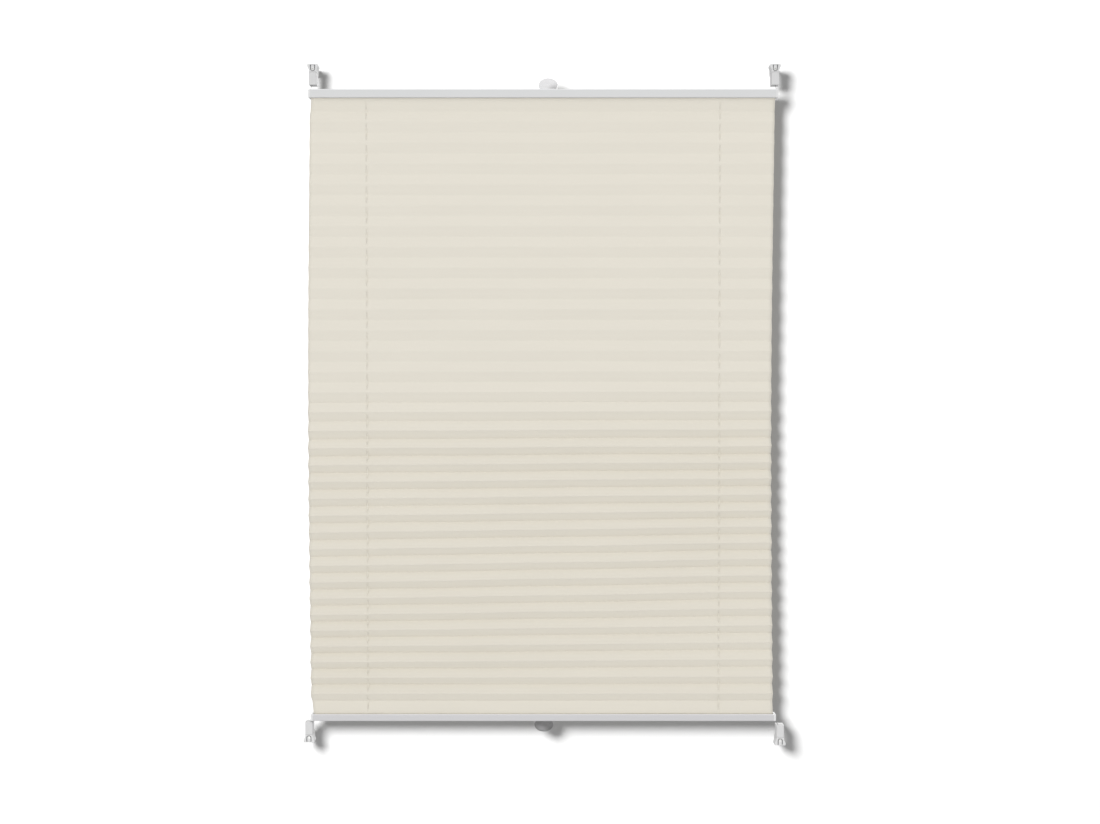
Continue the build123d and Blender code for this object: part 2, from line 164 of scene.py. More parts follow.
class Shader:
    """The node tree of a material, a light or the world, while it is built."""

    def __init__(self, owner: bpy.types.Material | bpy.types.Light | bpy.types.World) -> None:
        """Start an empty tree.

        Args:
            owner: what the tree belongs to.
        """
        owner.use_nodes = True
        self.tree = owner.node_tree
        self.tree.nodes.clear()

    def node(
        self,
        kind: str,
        settings: dict | None = None,
        sockets: dict | None = None,
        output: int | str = 0,
    ) -> Value:
        """Add one node and give one of its outputs.

        Args:
            kind: the node's type, without the ShaderNode in front.
            settings: what is set on the node before its sockets; "stops" are a ramp's.
            sockets: values or links, by socket name or number.
            output: the output to give.

        Returns:
            The chosen output.
        """
        made = self.tree.nodes.new("ShaderNode" + kind)
        for key, value in (settings or {}).items():
            if key == "stops":
                for index, (place, colour) in enumerate(value):
                    elements = made.color_ramp.elements
                    stop = elements[index] if index < 2 else elements.new(place)
                    stop.position, stop.color = place, (*colour, 1.0)
            else:
                setattr(made, key, value)
        for key, value in (sockets or {}).items():
            if isinstance(value, Value):
                self.tree.links.new(value.socket, made.inputs[key])
            else:
                made.inputs[key].default_value = value
        return Value(self, made.outputs[output])

    def place(self) -> Value:
        """The place on a piece, in the piece's own coordinates."""
        return self.node("TexCoord", {}, {}, output="Object")

    def part(self, vector: Value, axis: str) -> Value:
        """One of a vector's three parts, by its axis's letter."""
        return self.node("SeparateXYZ", {}, {0: vector}, output=axis)

    def noise(self, place: Value, grain: Grain) -> Value:
        """Noise from 0 to 1.

        Args:
            place: the coordinates.
            grain: how fine it is.

        Returns:
            The noise's value.
        """
        moved = self.node("Mapping", {}, {"Vector": place, "Scale": grain.stretch})
        sockets = {"Vector": moved, "Scale": grain.scale, "Detail": grain.layers}
        return self.node("TexNoise", {}, sockets)

    def mix(self, share: Value | float, first: Colour | Value, second: Colour | Value) -> Value:
        """A colour between two colours.

        Args:
            share: how much of the second.
            first: the colour at 0.
            second: the colour at 1.

        Returns:
            The mixed colour.
        """
        ends = {}
        for number, colour in ((6, first), (7, second)):
            ends[number] = colour if isinstance(colour, Value) else (*colour, 1.0)
        return self.node("Mix", {"data_type": "RGBA"}, {0: share, **ends}, output=2)

    def shades(self, share: Value, colour: Colour, factors: tuple[float, float]) -> Value:
        """A colour between two shades of itself, each given as a factor."""
        return self.mix(share, *(shaded(colour, factor) for factor in factors))

    def bump(self, height: Value, depth_mm: float, strength: float) -> Value:
        """A normal from a height.

        Args:
            height: from 0 to 1.
            depth_mm: how far 1 stands over 0.
            strength: how strongly the slope shows.

        Returns:
            The normal.
        """
        sockets = {"Height": height, "Distance": depth_mm * MM, "Strength": strength}
        return self.node("Bump", {}, sockets)

    def surface(self, **sockets: "Value | float | Colour") -> Value:
        """A Principled surface.

        Args:
            sockets: its sockets by name, with _ for spaces.

        Returns:
            The shader's output.
        """
        named = {key.replace("_", " "): value for key, value in sockets.items()}
        for key, value in named.items():
            if isinstance(value, tuple):
                named[key] = (*value, 1.0)
        return self.node("BsdfPrincipled", {}, named)

    def finish(self, surface: Value, kind: str) -> None:
        """Join a surface to the output of a Material, a Light or a World."""
        end = self.tree.nodes.new("ShaderNodeOutput" + kind)
        self.tree.links.new(surface.socket, end.inputs["Surface"])


def shaded(colour: Colour, factor: float) -> Colour:
    """A colour with each channel multiplied by a factor."""
    return tuple(min(channel * factor, 1.0) for channel in colour)


# ---------------------------------------------------------------- finishes


@dataclass(frozen=True)
class Finish:
    """What every finish has, and the call that builds its material."""

    name: str
    colour: Colour
    roughness: float

    def material(self) -> bpy.types.Material:
        """Build the material.

        Returns:
            The finished material.
        """
        made = bpy.data.materials.new(self.name)
        shader = Shader(made)
        shader.finish(self.surface(shader), "Material")
        return made

    def surface(self, shader: Shader) -> Value:
        """Build the surface; each finish has its own."""
        raise NotImplementedError

    def uneven(self, *parts: tuple[Value, float]) -> Value:
        """The roughness, uneven about its middle.

        Args:
            parts: noises, each with how much it changes the roughness.

        Returns:
            The varied roughness.
        """
        least = self.roughness - sum(size for _, size in parts) / 2
        return sum((noise * size for noise, size in parts), least)


@dataclass(frozen=True)
class PleatedFabric(Finish):
    """A fine plain-woven polyester with slubs along its weft and a faint unevenness."""

    thread_mm: float = 0.42
    depth_mm: float = 0.035
    slub: Grain = Grain(900.0, (0.02, 1.0, 1.0), 3.0)
    slub_height: float = 0.5
    wander: Grain = Grain(700.0, (1.0, 0.03, 1.0))
    weft_push: float = 2.4
    warp_push: float = 2.0
    mottle: Grain = Grain(16.0, (0.35, 1.0, 1.0), 3.0)
    mottled: tuple[float, float] = (0.975, 1.02)
    streak: Grain = Grain(260.0, (0.03, 1.0, 1.0))
    streak_share: float = 0.5
    streaked: float = 0.955
    # Painted shade: the gaps between the threads are darkened towards the gap tone.
    gap_narrowness: float = 3.0
    gap_share: float = 0.10
    gap_shade_tone: float = 0.62
    fuzz: Grain = Grain(500.0)
    fuzzed: float = 0.1

    def surface(self, shader: Shader) -> Value:
        """Weave the threads over a slightly uneven cream.

        Args:
            shader: the material's tree.

        Returns:
            The surface's output.
        """
        cloth = shader.node("UVMap", {"uv_map": "cloth"})
        pitch = TURN / (2 * self.thread_mm * MM)
        slub = shader.noise(cloth, self.slub)
        wander = shader.noise(cloth, self.wander)
        weft = (shader.part(cloth, "Y") * pitch + slub * self.weft_push).wave()
        warp = (shader.part(cloth, "X") * pitch + wander * self.warp_push).wave()
        weave = (weft * warp).lifted()
        streak = shader.noise(cloth, self.streak) * self.streak_share
        # Painted shade in the low places between the threads.
        thread_gap_shade = (1 - weave).raised(self.gap_narrowness) * self.gap_share
        tone = shader.shades(shader.noise(cloth, self.mottle), self.colour, self.mottled)
        tone = shader.mix(streak, tone, shaded(self.colour, self.streaked))
        tone = shader.mix(thread_gap_shade, tone, shaded(self.colour, self.gap_shade_tone))
        return shader.surface(
            Base_Color=tone,
            Roughness=self.uneven((shader.noise(cloth, self.fuzz), self.fuzzed)),
            Normal=shader.bump(weave + slub * self.slub_height, self.depth_mm, strength=0.6),
            Sheen_Weight=0.18,
            Sheen_Roughness=0.45,
            Specular_IOR_Level=0.25,
        )


@dataclass(frozen=True)
class BraidedCord(Finish):
    """A round braid: two sets of strands that cross as they wind."""

    strands: int = 4
    lay_mm: float = 1.6
    depth_mm: float = 0.08
    # Painted shade and highlight: the colour's factors in the braid's grooves and on its crowns.
    shades: tuple[float, float] = (0.86, 1.04)
    gap_roughness: float = 0.1
    crown_polish: float = 0.15

    def surface(self, shader: Shader) -> Value:
        """Wind the strands both ways round the cord.

        Args:
            shader: the material's tree.

        Returns:
            The surface's output.
        """
        wound = shader.node("UVMap", {"uv_map": "braid"})
        around = shader.part(wound, "X") * (TURN * self.strands)
        along = shader.part(wound, "Y") * (TURN / (self.lay_mm * MM))
        braid = ((around + along).wave() * (around - along).wave()).lifted()
        # The grooves are painted darker as shade and the crowns paler as a highlight.
        return shader.surface(
            Base_Color=shader.shades(braid, self.colour, self.shades),
            Roughness=braid * -self.crown_polish + (self.roughness + self.gap_roughness),
            Normal=shader.bump(braid, self.depth_mm, strength=0.8),
            Sheen_Weight=0.2,
        )


@dataclass(frozen=True)
class PaintedRail(Finish):
    """Satin powder paint on an extrusion with fine orange peel; painted light pales top faces."""

    peel_mm: float = 1.1
    peel_stretch: Point = (0.7, 1.0, 1.0)
    lines: Grain = Grain(1500.0, (0.004, 1.0, 1.0))
    line_share: float = 0.12
    line_tone: float = 0.9
    peel_height: float = 0.8
    line_height: float = 0.4
    depth_mm: float = 0.02
    dust: Grain = Grain(14.0, (0.3, 1.0, 1.0), 4.0)
    dusted: tuple[float, float] = (0.97, 1.02)
    # Painted light: faces that look up are painted this much paler, as if lit from above.
    painted_top_light_tone: float = 1.22
    dust_gloss: float = 0.14
    line_gloss: float = 0.06

    def surface(self, shader: Shader) -> Value:
        """Lay the paint's peel and the die's lines over the colour.

        Args:
            shader: the material's tree.

        Returns:
            The surface's output.
        """
        place = shader.place()
        peel = shader.noise(place, Grain(1 / (self.peel_mm * MM), self.peel_stretch))
        lines = shader.noise(place, self.lines)
        dust = shader.noise(place, self.dust)
        # Painted light from above: the faces that look up are mixed towards a paler colour.
        facing = shader.node("TexCoord", {}, {}, output="Normal")
        top_light_share = shader.part(facing, "Z").at_least(0.0)
        tone = shader.shades(dust, self.colour, self.dusted)
        tone = shader.mix(lines * self.line_share, tone, shaded(self.colour, self.line_tone))
        tone = shader.mix(top_light_share, tone, shaded(self.colour, self.painted_top_light_tone))
        height = peel * self.peel_height + lines * self.line_height
        return shader.surface(
            Base_Color=tone,
            Roughness=self.uneven((dust, self.dust_gloss), (lines, self.line_gloss)),
            Normal=shader.bump(height, self.depth_mm, strength=0.35),
            Specular_IOR_Level=0.45,
        )


@dataclass(frozen=True)
class MouldedPlastic(Finish):
    """Moulded plastic: a spark-eroded grain, slow sink marks and handling haze."""

    grain_mm: float = 0.35
    depth_mm: float = 0.012
    grain_share: float = 0.1
    grain_tone: float = 0.9
    grain_gloss: float = 0.06
    sink: Grain = Grain(120.0, layers=1.0)
    sink_height: float = 2.0
    haze: Grain = Grain(45.0, layers=4.0)
    hazed: tuple[float, float] = (0.96, 1.02)
    haze_gloss: float = 0.16

    def surface(self, shader: Shader) -> Value:
        """Grain the surface and vary its gloss.

        Args:
            shader: the material's tree.

        Returns:
            The surface's output.
        """
        place = shader.place()
        grain = shader.noise(place, Grain(1 / (self.grain_mm * MM), layers=3.0))
        haze = shader.noise(place, self.haze)
        height = grain + shader.noise(place, self.sink) * self.sink_height
        tone = shader.shades(haze, self.colour, self.hazed)
        tone = shader.mix(grain * self.grain_share, tone, shaded(self.colour, self.grain_tone))
        return shader.surface(
            Base_Color=tone,
            Roughness=self.uneven((haze, self.haze_gloss), (grain, self.grain_gloss)),
            Normal=shader.bump(height, self.depth_mm, strength=0.5),
            Specular_IOR_Level=0.45,
        )


@dataclass(frozen=True)
class ClearPlastic(Finish):
    """Clear moulded plastic with a slight smoke, and the flow of the mould in its faces."""

    index: float = 1.15
    flow: Grain = Grain(40.0, (1, 1, 2.5), 1.0)
    flow_depth_mm: float = 0.05
    haze: Grain = Grain(180.0, layers=3.0)
    hazed: tuple[float, float] = (0.98, 1.0)
    haze_gloss: float = 0.04

    def surface(self, shader: Shader) -> Value:
        """Let light through, with a faint haze.

        Args:
            shader: the material's tree.

        Returns:
            The surface's output.
        """
        place = shader.place()
        haze = shader.noise(place, self.haze)
        flow = shader.noise(place, self.flow)
        return shader.surface(
            Base_Color=shader.shades(haze, self.colour, self.hazed),
            Roughness=self.uneven((haze, self.haze_gloss)),
            Normal=shader.bump(flow, self.flow_depth_mm, strength=0.1),
            IOR=self.index,
            Specular_IOR_Level=0.15,
            Transmission_Weight=1.0,
        )


@dataclass(frozen=True)
class WorkedMetal(Finish):
    """Bare or plated metal with fine drawing marks and blotches in the plating."""

    marks: Grain = Grain(2600.0, (1.0, 1.0, 0.05), 3.0)
    metallic: float = 1.0
    mark_depth_mm: float = 0.01
    mark_gloss: float = 0.1
    blotch: Grain = Grain(340.0, layers=4.0)
    blotched: tuple[float, float] = (0.86, 1.06)
    blotch_gloss: float = 0.18

    def surface(self, shader: Shader) -> Value:
        """Draw the marks along the metal and blotch its plating.

        Args:
            shader: the material's tree.

        Returns:
            The surface's output.
        """
        place = shader.place()
        marks = shader.noise(place, self.marks)
        blotch = shader.noise(place, self.blotch)
        return shader.surface(
            Base_Color=shader.shades(blotch, self.colour, self.blotched),
            Metallic=self.metallic,
            Roughness=self.uneven((blotch, self.blotch_gloss), (marks, self.mark_gloss)),
            Normal=shader.bump(marks, self.mark_depth_mm, strength=0.4),
        )


@dataclass(frozen=True)
class StageSurface(Finish):
    """A plain matt surface of the stage, which can be looked through from behind."""

    one_sided: bool = False

    def surface(self, shader: Shader) -> Value:
        """Paint the stage.

        Args:
            shader: the material's tree.

        Returns:
            The surface's output.
        """
        plain = shader.surface(Base_Color=self.colour, Roughness=self.roughness)
        if not self.one_sided:
            return plain
        behind = shader.node("NewGeometry", {}, {}, output="Backfacing")
        clear = shader.node("BsdfTransparent")
        return shader.node("MixShader", {}, {0: behind, 1: plain, 2: clear})


class Look(Enum):
    """The blind's finishes by what they cover."""

    CLOTH = PleatedFabric("cream pleated cloth", (0.79, 0.752, 0.664), 0.88)
    CORD = BraidedCord("white braided cord", (0.88, 0.845, 0.765), 0.6)
    # The cord's open ends: the same white cord, painted much darker as painted shade.
    SHADED_CORD_END = BraidedCord("cord end in painted shade", (0.28, 0.275, 0.265), 0.6)
    RAIL = PaintedRail("white painted rail", (0.575, 0.580, 0.582), 0.38)
    # The lower rail: the same white paint, darkened as painted shade.
    SHADED_RAIL = PaintedRail("white rail in painted shade", (0.495, 0.490, 0.497), 0.38)
    CAP = MouldedPlastic("white end cap", (0.634, 0.634, 0.634), 0.42)
    GUIDE = MouldedPlastic("smooth cord guide", (0.80, 0.80, 0.78), 0.3, 0.6, 0.006)
    STRIP = MouldedPlastic("extruded end strip", (0.76, 0.76, 0.74), 0.5, 0.8)
    GRIP = ClearPlastic("smoked clear grip", (0.635, 0.635, 0.64), 0.05)
    SPRING = WorkedMetal("drawn spring wire", (0.60, 0.60, 0.61), 0.32)
    CLAMP = MouldedPlastic("white clamp", (0.60, 0.60, 0.60), 0.4)
    # The shoes: white clamp plastic, painted a little darker as painted shade.
    SHADED_SHOE = MouldedPlastic("tension shoe in painted shade", (0.56, 0.56, 0.56), 0.42, 0.45)
    HOOK = WorkedMetal(
        "painted steel hook", (0.66, 0.66, 0.65), 0.45, Grain(2600.0, (0.05, 1.0, 1.0), 3.0), 0.0
    )
    SCREW = WorkedMetal("zinc plated screw", (0.50, 0.50, 0.49), 0.42)


class Wardrobe:
    """Builds each finish once and puts it on pieces and CAD nodes."""

    def __init__(self) -> None:
        """Start with nothing built."""
        self.built: dict[Look, bpy.types.Material] = {}

    def dress(self, piece: bpy.types.Object, look: Look) -> None:
        """Give a piece a finish in all of its slots.

        Args:
            piece: the piece or CAD node.
            look: the finish.
        """
        if look not in self.built:
            self.built[look] = look.value.material()
        if not piece.material_slots:
            piece.data.materials.append(None)
        for holder in piece.material_slots:
            holder.material = self.built[look]


# ---------------------------------------------------------------- mesh helpers


def add_mesh(
    name: str,
    points: Sequence[Point] | np.ndarray,
    faces: Sequence[Sequence[int]],
    plane: tuple[str, np.ndarray] | None = None,
) -> bpy.types.Object:
    """Make a smooth-shaded mesh object.

    Args:
        name: the piece's name.
        points: its vertices, in metres.
        faces: its faces, as vertex numbers.
        plane: the name of a UV layer, and each vertex's place in it.

    Returns:
        The new object, in the scene.
    """
    mesh = bpy.data.meshes.new(name)
    mesh.from_pydata([tuple(map(float, p)) for p in points], [], [tuple(f) for f in faces])
    mesh.update()
    mesh.shade_smooth()
    if plane is not None:
        layer = mesh.uv_layers.new(name=plane[0])
        corners = np.zeros(len(mesh.loops), np.int32)
        mesh.loops.foreach_get("vertex_index", corners)
        layer.data.foreach_set("uv", np.asarray(plane[1], np.float32)[corners].ravel())
    made = bpy.data.objects.new(name, mesh)
    bpy.context.scene.collection.objects.link(made)
    return made


def ease(value: np.ndarray | float) -> np.ndarray | float:
    """A smooth step from 0 to 1, held outside them."""
    held = np.clip(value, 0.0, 1.0)
    return held * held * (3 - 2 * held)


@dataclass(frozen=True)
class Rails:
    """Where the two rails are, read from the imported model, in millimetres."""

    middle_x: float
    middle_y: float
    top_face: float
    bottom_face: float
    top_outer: float
    bottom_outer: float

    @classmethod
    def measured(cls) -> "Rails":
        """Read both rails' boxes.

        Returns:
            The rails' middle and faces, in mm.
        """
        top_low, top_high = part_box("top_rail")
        bottom_low, bottom_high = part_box("bottom_rail")
        return cls(
            (top_low.x + top_high.x) / 2 / MM,
            (top_low.y + top_high.y) / 2 / MM,
            top_low.z / MM,
            bottom_high.z / MM,
            top_high.z / MM,
            bottom_low.z / MM,
        )

    def placed(self, x: float, y: float, z: float) -> Point:
        """A point in metres, from x and y off the rails' middle and z in the frame, in mm."""
        return ((self.middle_x + x) * MM, (self.middle_y + y) * MM, z * MM)

    def hang(self, piece: bpy.types.Object, rail: str, seam: float) -> None:
        """Let a piece ride with its rail, on a mesh of its own.

        Args:
            piece: a half of the cloth, or of a cord's fall through it.
            rail: the rail that it hangs from or stands on.
            seam: the level of its other end, in mm.
        """
        face = self.top_face if rail == "top_rail" else self.bottom_face
        keep = 1 - RAIL_TRAVEL / abs(face - seam)
        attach(piece, rail)
        self.placed(0, 0, face)
        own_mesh(piece)


# ---------------------------------------------------------------- the cloth


@dataclass
class PleatedCloth:
    """The pleated cloth: end flaps in both rails and 67 pleats that draw together downwards."""

    rails: Rails
    wardrobe: Wardrobe

    # The pleats, how far they lean at the top and the bottom, and the pleats where that changes.
    pleat: float = 20.2
    pleats: int = 67
    thickness: float = 0.35
    top_fold: float = 8.0
    bottom_fold: float = 38.0
    change: tuple[int, int] = (24, 35)
    crease_radius: float = 0.15
    crease_rounding: float = 2.2
    bow: float = 0.035
    least_span: float = 0.12

    # The flaps in the rails, and the creases next to them.
    flap_reach: float = 8.0
    flap_level: float = 1.375
    end_crease: float = 6.0
    first_reach: float = 1.2
    last_reach: float = 3.5
    last_crease: float = -0.5
    hang: float = 7.0

    # The folds that stand fuller, down to one pleat and around another.
    full_above: float = 30.0
    full_fade: float = 6.0
    upper_fullness: float = 0.25
    fullest: float = 20.0
    full_spread: float = 7.5
    belly_fullness: float = 0.5

    # The creases' tilt up to the right, and their waves.
    tilt: float = 7.2
    tilt_drop: float = 2.37
    tilt_gather: float = 2.2
    wave: float = 1.1
    wave_bends: int = 3
    wave_bands: int = 5
    flutter: float = 0.56
    flutter_bends: int = 5
    taut_flutter: float = 0.35
    wave_size: tuple[float, float] = (0.4, 1.0)
    wave_count: tuple[float, float] = (0.6, 1.3)
    seam_calm: float = 1.6
    seed: int = 11

    # The cut sides' sway to the left at mid-height.
    sway: float = 4.8
    sway_gather: float = 1.2
    side_clear: float = 20.0
    side_fade: float = 36.0
    left_swell: float = 3.6
    left_growth: float = 1.4

    # The mesh's rows and columns, and the block of them that a cord hole is cut in.
    column_step: float = 8.0
    hem_rows: tuple[float, ...] = (0.0, 0.025, 0.1, 0.3, 0.5, 0.7, 0.9, 0.975)
    block: tuple[float, ...] = (-3.0, -1.0, 0.0, 1.0, 3.0)
    block_row: int = 2
    block_margin: float = 0.03

    # The cord holes: slots in the pleats, round in the flaps.
    hole_x: float = 340.0
    flap_hole: float = 1.5
    slot_half_width: float = 0.42
    slot_clearance: float = 0.15
    cord_radius: float = 0.4

    level: list[float] = field(init=False)
    seam: int = field(init=False)
    half_width: float = field(init=False)

    def __post_init__(self) -> None:
        """Work out the even pleats that the cloth would have, and its own unevenness."""
        reach = [self.pleat / 2 * math.sin(self.fold(n)) for n in range(self.pleats + 1)]
        reach[0] = reach[-1] = self.end_crease
        self.level = [self.rails.top_face + self.flap_level]
        for here, after in zip(reach, reach[1:]):
            drop = math.sqrt(self.pleat**2 - (here + after) ** 2)
            self.level.append(self.level[-1] - drop)
        self.level[1:-1] = [level - self.hang for level in self.level[1:-1]]
        self.level[-2] = self.rails.bottom_face + self.last_crease
        middle = (self.rails.top_face + self.rails.bottom_face) / 2
        back_creases = range(1, self.pleats, 2)
        self.seam = min(back_creases, key=lambda n: abs(self.level[n] - middle))
        draw = random.Random(self.seed)
        self.slow = [self.wander(draw, self.wave_bends) for _ in range(self.wave_bands)]
        self.quick = [self.wander(draw, self.flutter_bends) for _ in range(self.pleats + 1)]
        low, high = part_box("pleated_cloth")
        self.half_width = (high.x - low.x) / 2 / MM
        self.columns = self.column_places()

    def fold(self, index: float) -> float:
        """How far a pleat leans from the vertical.

        Args:
            index: the pleat's number, down from the top.

        Returns:
            The lean, in radians.
        """
        start, end = self.change
        share = float(ease((index - start) / (end - start)))
        return math.radians(self.top_fold + (self.bottom_fold - self.top_fold) * share)

    def wander(self, draw: random.Random, bends: int) -> list[Wave]:
        """Draw a gentle random curve along the cloth.

        Args:
            draw: the random source.
            bends: how many waves add up.

        Returns:
            Size, waves over the width and phase of each.
        """
        waves = []
        for number in range(1, bends + 1):
            size = draw.uniform(*self.wave_size) / bends
            count = draw.uniform(*self.wave_count) * number
            waves.append((size, count, draw.uniform(0, TURN)))
        return waves

    def curve(self, waves: list[Wave], x: np.ndarray) -> np.ndarray:
        """The height of a random curve at places along the cloth."""
        share = x / (2 * self.half_width)
        return sum(size * np.sin(TURN * count * share + phase) for size, count, phase in waves)

    def column_places(self) -> np.ndarray:
        """Where the mesh's columns stand, with a set of its own at each cord's holes.

        Returns:
            Their places along the rails, from left to right.
        """
        count = round(2 * self.half_width / self.column_step)
        even = np.linspace(-self.half_width, self.half_width, count + 1)
        holes = [side * self.hole_x + x for side in SIDES for x in self.block]
        clear = [x for x in even if min(abs(x - h) for h in holes) > self.column_step / 2]
        return np.array(sorted([*clear, *holes]))

    def crease_level(self, index: int, x: np.ndarray) -> np.ndarray:
        """A crease's level: even, then tilted up to the right, with waves shared by neighbours.

        Args:
            index: the crease's number, down from the first, in the top rail.
            x: places along the rails.

        Returns:
            The levels there, in mm.
        """
        if index in (0, self.pleats):
            return np.full_like(x, self.level[index])
        share = index / self.pleats
        held = math.sqrt(math.sin(math.pi * share))
        calm = 1 - math.exp(-(((index - self.seam) / self.seam_calm) ** 2))
        slack = math.sin(self.fold(index)) / math.sin(math.radians(self.bottom_fold))
        tilt = self.tilt * math.sin(math.pi * share**self.tilt_drop) ** self.tilt_gather
        place = share * (len(self.slow) - 1)
        base = min(int(place), len(self.slow) - 2)
        blend = float(ease(place - base))
        above, below = (self.curve(waves, x) for waves in self.slow[base : base + 2])
        shared = (1 - blend) * above + blend * below
        own = self.curve(self.quick[index], x)
        loose = self.taut_flutter + (1 - self.taut_flutter) * slack
        uneven = self.wave * shared + self.flutter * own * loose
        return self.level[index] + tilt * x / self.half_width + uneven * held * calm

    def fullness(self, index: int) -> float:
        """How much fuller a fold stands than its pleats' own length asks.

        Args:
            index: the crease's number.

        Returns:
            The factor for its reach.
        """
        upper = float(ease((self.full_above - index) / self.full_fade))
        belly = math.exp(-(((index - self.fullest) / self.full_spread) ** 2))
        return 1 + self.upper_fullness * upper + self.belly_fullness * belly

    def crease_reach(self, index: int, x: np.ndarray) -> np.ndarray:
        """How far a crease stands from the middle, so that its pleats keep their length.

        Args:
            index: the crease's number.
            x: places along the rails.

        Returns:
            The reaches there, in mm and without a sign.
        """
        if index in (0, self.pleats):
            return np.full_like(x, self.end_crease)
        if index == self.pleats - 1:
            return np.full_like(x, self.last_reach)
        here = self.crease_level(index, x)
        spans = []
        for other in (index - 1, index + 1):
            drop = np.abs(self.crease_level(other, x) - here)
            least = (self.least_span * self.pleat) ** 2
            spans.append(np.sqrt(np.maximum(self.pleat**2 - drop**2, least)))
        if index == 1:
            return np.maximum(spans[1] / 2, self.first_reach) * self.fullness(index)
        return (spans[0] + spans[1]) / 4 * self.fullness(index)

    def edge_line(self, index: int, x: np.ndarray) -> tuple[np.ndarray, np.ndarray]:
        """One line that bounds a strip, as y and z: a flap's free edge or a crease.

        Args:
            index: 0 and pleats + 2 are the flaps' edges; the rest are creases.
            x: places along the rails.

        Returns:
            y and z in mm.
        """
        crease = min(max(index - 1, 0), self.pleats)
        z = self.crease_level(crease, x)
        if index == 0:
            return np.full_like(x, self.flap_reach), z
        if index == self.pleats + 2:
            return np.full_like(x, -self.flap_reach), z
        front = -1.0 if crease % 2 == 0 else 1.0
        return front * (self.crease_reach(crease, x) - self.crease_radius), z

    def strip_point(self, strip: int, share: np.ndarray, x: np.ndarray) -> np.ndarray:
        """Points on one strip between two of its lines.

        Args:
            strip: the strip's number, down from the top flap.
            share: how far down the strip, from 0 to 1.
            x: places along the rails.

        Returns:
            The points, in metres.
        """
        y0, z0 = self.edge_line(strip, x)
        y1, z1 = self.edge_line(strip + 1, x)
        near = np.minimum(share, 1 - share)
        lift = self.crease_radius * np.clip(near / self.hem_rows[1], 0, 1)
        lift *= np.clip(1 - self.crease_rounding * near, 0, 1)
        swell = lift * np.where(share < 0.5, np.sign(y0), np.sign(y1))
        steeper = self.bow * (y1 - y0) * np.sin(TURN * share)
        y = y0 + (y1 - y0) * share + steeper + swell
        z = z0 + (z1 - z0) * share
        across = self.rails.middle_x + self.trimmed(x, z)
        return np.stack([across * MM, (self.rails.middle_y + y) * MM, z * MM], axis=-1)

    def trimmed(self, x: np.ndarray, z: np.ndarray) -> np.ndarray:
        """Where the cut sides bring a place near an edge: both sway to the left at mid-height.

        Args:
            x: places along the rails.
            z: their levels, in mm.

        Returns:
            The places' x, swayed.
        """
        share = (self.rails.top_face - z) / (self.rails.top_face - self.rails.bottom_face)
        belly = np.sin(math.pi * np.clip(share, 0, 1)) ** self.sway_gather
        inner = self.hole_x + self.side_clear
        outer = ease((np.abs(x) - inner) / (self.half_width - inner))
        free = np.clip(self.side_fade * np.minimum(share, 1 - share), 0, 1)
        swell = np.where(x < 0, free * (self.left_swell + self.left_growth * share), 0.0)
        return x - outer * (belly * self.sway + swell)

    def hole(self, strip: int, side: int) -> tuple[np.ndarray, np.ndarray]:
        """The rim of a cord hole, in the order of its block's border.

        Args:
            strip: the strip that it is cut in.
            side: -1 for the left cord's lane, 1 for the right.

        Returns:
            The rim's places along the rails, and its shares down the strip.
        """
        at = np.array([side * self.hole_x])
        y0, z0 = self.edge_line(strip, at)
        y1, z1 = self.edge_line(strip + 1, at)
        if strip in (0, self.pleats, self.pleats + 1):
            size = abs(y1 - y0).item()
            wide = tall = self.flap_hole
        else:
            size = abs(z1 - z0).item()
            lean = abs((y1 - y0) / (z1 - z0)).item()
            wide = self.slot_half_width
            tall = (self.cord_radius + self.thickness / 2) / lean + self.slot_clearance
        half = tall / size
        low = self.hem_rows[self.block_row] + self.block_margin
        high = self.hem_rows[self.block_row + len(self.block) - 1] - self.block_margin
        centre = min(max((y0 / (y0 - y1)).item(), low + half), high - half)
        end = wide / size
        inner = half - end
        rim = [(a * wide, centre - inner - b * end) for a, b in HALF_ROUND]
        rim += [(wide, centre + inner * s) for s in (-0.5, 0.0, 0.5)]
        rim += [(a * wide, centre + inner + b * end) for a, b in reversed(HALF_ROUND)]
        rim += [(-wide, centre + inner * s) for s in (0.5, 0.0, -0.5)]
        places = np.array(rim)
        return places[:, 0] + side * self.hole_x, places[:, 1]

    def block_border(self, top: int, left: int) -> list[int]:
        """The mesh's points round a block that a cord hole is cut in, in its rim's order.

        Args:
            top: the block's first row.
            left: the block's first column.

        Returns:
            The points' numbers.
        """
        span = len(self.block) - 1
        border = [(top, left + k) for k in range(span + 1)]
        border += [(top + k, left + span) for k in range(1, span)]
        border += [(top + span, left + k) for k in range(span, -1, -1)]
        border += [(top + k, left) for k in range(span - 1, 0, -1)]
        return [row * len(self.columns) + column for row, column in border]

